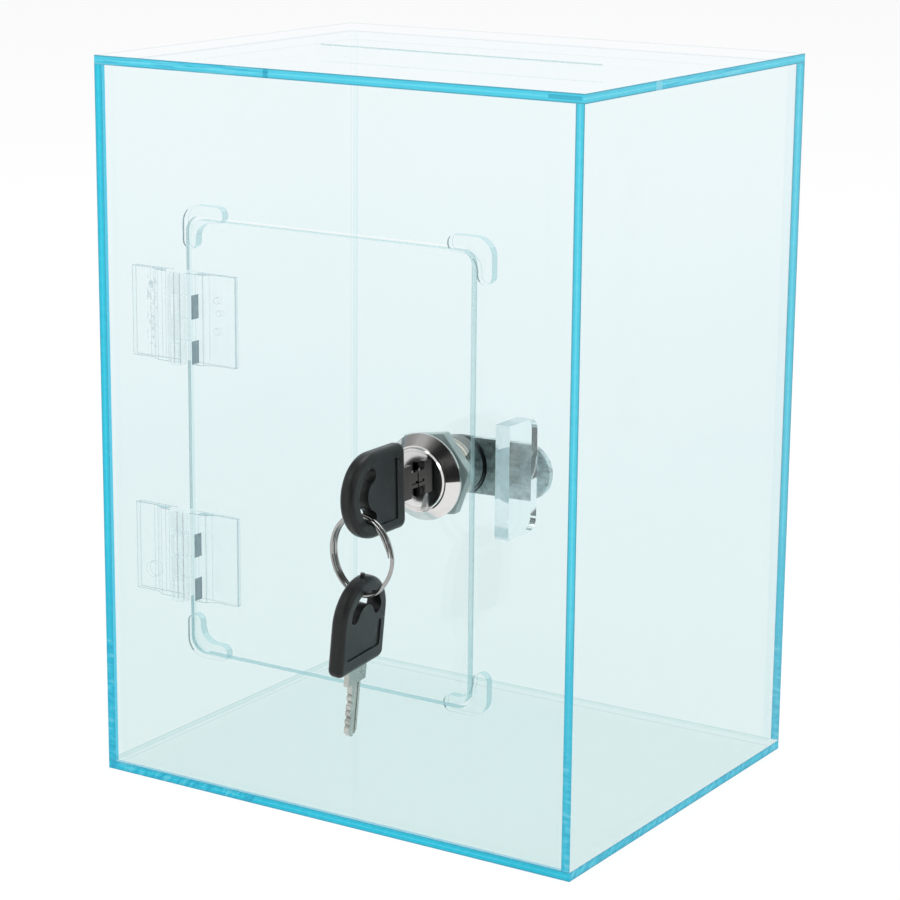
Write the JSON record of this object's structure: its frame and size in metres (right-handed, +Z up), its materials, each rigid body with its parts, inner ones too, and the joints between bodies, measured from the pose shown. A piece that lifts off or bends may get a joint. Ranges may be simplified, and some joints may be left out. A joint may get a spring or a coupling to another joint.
{
  "type": "ballot box",
  "caption": "Clear acrylic ballot box with a slotted top and a hinged front door held by a cam lock, with its key, split ring and spare key.",
  "frame": {"origin": "middle of the underside, on the table", "axes": "+Z up, -Y out of the door, +X to the right seen from the front"},
  "size_m": [0.15, 0.1579, 0.2],
  "materials": {
    "clear_acrylic": "polished, laser-cut edges",
    "chrome": "bright plated",
    "nickel": "plain nickel plate",
    "black_plastic": "moulded, satin"
  },
  "bodies": {
    "carcass": {"front_panel": "clear_acrylic", "back_panel": "clear_acrylic", "left_side_panel": "clear_acrylic", "right_side_panel": "clear_acrylic", "top_panel": "clear_acrylic", "bottom_panel": "clear_acrylic", "upper_left_door_stop": "clear_acrylic", "upper_right_door_stop": "clear_acrylic", "lower_left_door_stop": "clear_acrylic", "lower_right_door_stop": "clear_acrylic", "catch_block": "clear_acrylic", "upper_hinge_frame_leaf": "clear_acrylic", "lower_hinge_frame_leaf": "clear_acrylic", "upper_hinge_pin": "clear_acrylic", "lower_hinge_pin": "clear_acrylic"},
    "door": {"door_panel": "clear_acrylic", "upper_hinge_door_leaf": "clear_acrylic", "lower_hinge_door_leaf": "clear_acrylic", "lock_housing": "chrome", "lock_nut": "nickel"},
    "lock_plug": {"lock_plug": "chrome", "lock_cam": "nickel", "cam_nut": "nickel"},
    "key": {"key_blade": "nickel", "key_bow": "black_plastic"},
    "ring": {"key_ring": "chrome"},
    "spare_key": {"spare_key_blade": "nickel", "spare_key_bow": "black_plastic"}
  },
  "joints": [
    {"name": "door_swing", "type": "hinge", "parent": "carcass", "child": "door", "pos_m": [-0.0451, -0.0643, 0.1], "axis": [0, 0, -1], "range_deg": [0, 180]},
    {"name": "lock_turn", "type": "hinge", "parent": "door", "child": "lock_plug", "pos_m": [0.0303, -0.0603, 0.1], "axis": [0, 1, 0], "range_deg": [0, 90]},
    {"name": "key_slide", "type": "slide", "parent": "lock_plug", "child": "key", "axis": [0, -1, 0], "range_m": [-0.00715, 0.0105]},
    {"name": "ring_swing", "type": "hinge", "parent": "key", "child": "ring", "pos_m": [0.0293, -0.08667, 0.09527], "axis": [-0.9803, 0.1977, 0], "range_deg": [-20, 75]},
    {"name": "spare_key_swing", "type": "hinge", "parent": "ring", "child": "spare_key", "pos_m": [0.0293, -0.08667, 0.07507], "axis": [0.9803, -0.1977, 0], "range_deg": [-40, 30]}
  ]
}
